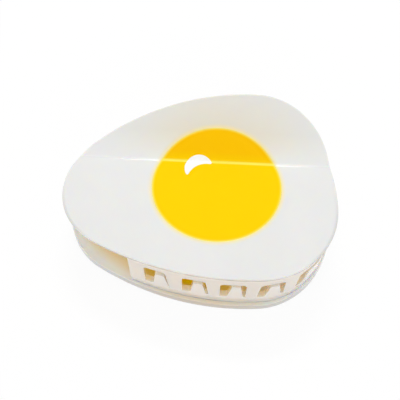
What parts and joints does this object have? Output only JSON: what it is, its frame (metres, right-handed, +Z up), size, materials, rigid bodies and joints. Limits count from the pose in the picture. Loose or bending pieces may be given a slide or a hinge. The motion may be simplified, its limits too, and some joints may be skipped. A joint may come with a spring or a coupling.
{
  "type": "hair claw clip",
  "caption": "Sprung hair claw clip shaped like a halved egg: two bent white plates with inlaid yellow yolks, interlocking cream combs and a riveted hinge.",
  "frame": {"origin": "on the table, under the middle of the shut clip's box", "axes": "+X along the hinge towards the egg's blunt end, +Y to the handles, +Z up"},
  "size_m": [0.084, 0.0614, 0.0371],
  "materials": {
    "white_acetate": "polished",
    "yellow_acetate": "polished",
    "glint_white": "polished",
    "cream_acetate": "polished",
    "steel": "satin",
    "spring_steel": "bright"
  },
  "bodies": {
    "lower_jaw": {"lower_plate": "white_acetate", "lower_yolk": "yellow_acetate", "lower_glint": "glint_white", "lower_comb": "cream_acetate", "lower_left_ear": "cream_acetate", "lower_right_ear": "cream_acetate", "hinge_pin": "steel", "torsion_spring": "spring_steel"},
    "upper_jaw": {"upper_plate": "white_acetate", "upper_yolk": "yellow_acetate", "upper_glint": "glint_white", "upper_comb": "cream_acetate", "upper_left_ear": "cream_acetate", "upper_right_ear": "cream_acetate"}
  },
  "joints": [
    {"name": "clip_hinge", "type": "hinge", "parent": "lower_jaw", "child": "upper_jaw", "pos_m": [0, 0.01074, 0.01747], "axis": [-1, 0, 0], "range_deg": [0, 70], "stiffness_Nm_per_rad": 0.12, "springref_deg": -45.84, "deforming": ["torsion_spring"]}
  ]
}
